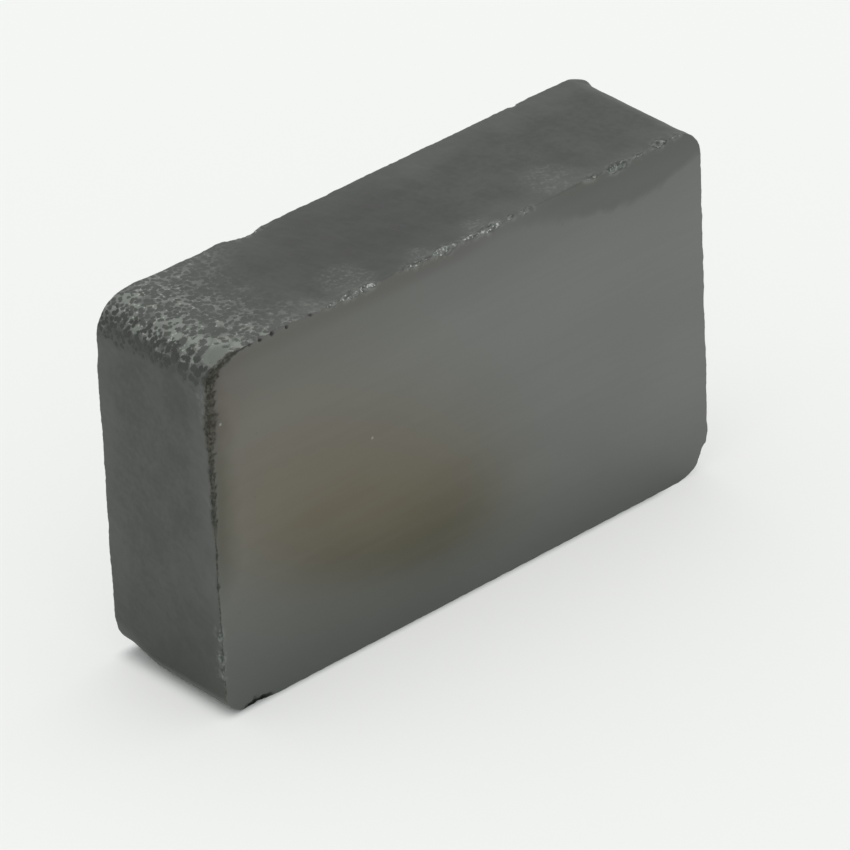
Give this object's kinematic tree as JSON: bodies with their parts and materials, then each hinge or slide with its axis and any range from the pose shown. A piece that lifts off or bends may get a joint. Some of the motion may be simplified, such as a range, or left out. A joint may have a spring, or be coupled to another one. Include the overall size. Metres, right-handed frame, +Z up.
{
  "type": "block magnet",
  "caption": "Rectangular ferrite block magnet with rounded corners, two flat ground pole faces and chipped edges.",
  "frame": {"origin": "middle of the long narrow wall that the block stands on", "axes": "+X along the 40 mm length, +Y through the thickness from the front pole face to the back one, +Z up the height"},
  "size_m": [0.04, 0.01, 0.0245],
  "materials": {
    "ferrite": "dark grey fired ferrite, satin ground pole faces and dull mottled pressed walls"
  },
  "bodies": {
    "root": {"magnet_block": "ferrite"}
  },
  "joints": []
}
